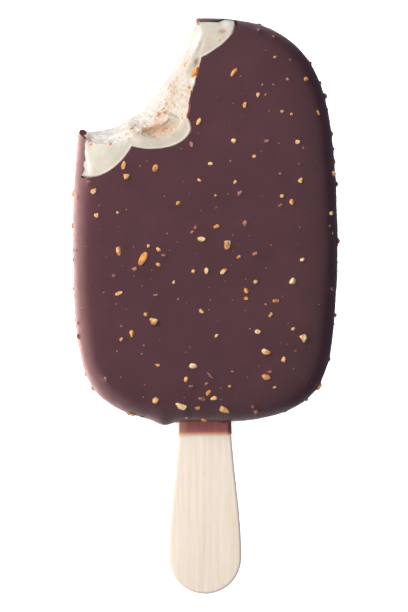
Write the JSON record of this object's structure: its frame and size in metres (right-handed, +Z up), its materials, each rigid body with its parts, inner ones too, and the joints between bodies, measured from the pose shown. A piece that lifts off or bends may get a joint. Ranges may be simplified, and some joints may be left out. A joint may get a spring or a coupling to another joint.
{
  "type": "ice cream bar",
  "caption": "Chocolate-coated almond ice cream bar on a wooden paddle stick, lying on its back, with a bite taken out of one upper corner.",
  "frame": {"origin": "on the surface that the bar lies on, at the middle of the whole length and width", "axes": "+X across the bar to its right, +Y from the stick towards the rounded top, +Z up out of the front face"},
  "size_m": [0.0616, 0.1341, 0.022],
  "materials": {
    "chocolate": "satin milk chocolate couverture with chopped almond pieces set in it",
    "ice_cream": "pale cream ice cream, smooth under the coating and torn and grainy in the bite",
    "birch": "bare sanded birch with fine straight grain",
    "almond": "roasted chopped almond, dry and pale golden"
  },
  "bodies": {
    "root": {"chocolate_coating": "chocolate", "ice_cream": "ice_cream", "stick": "birch"}
  },
  "joints": []
}
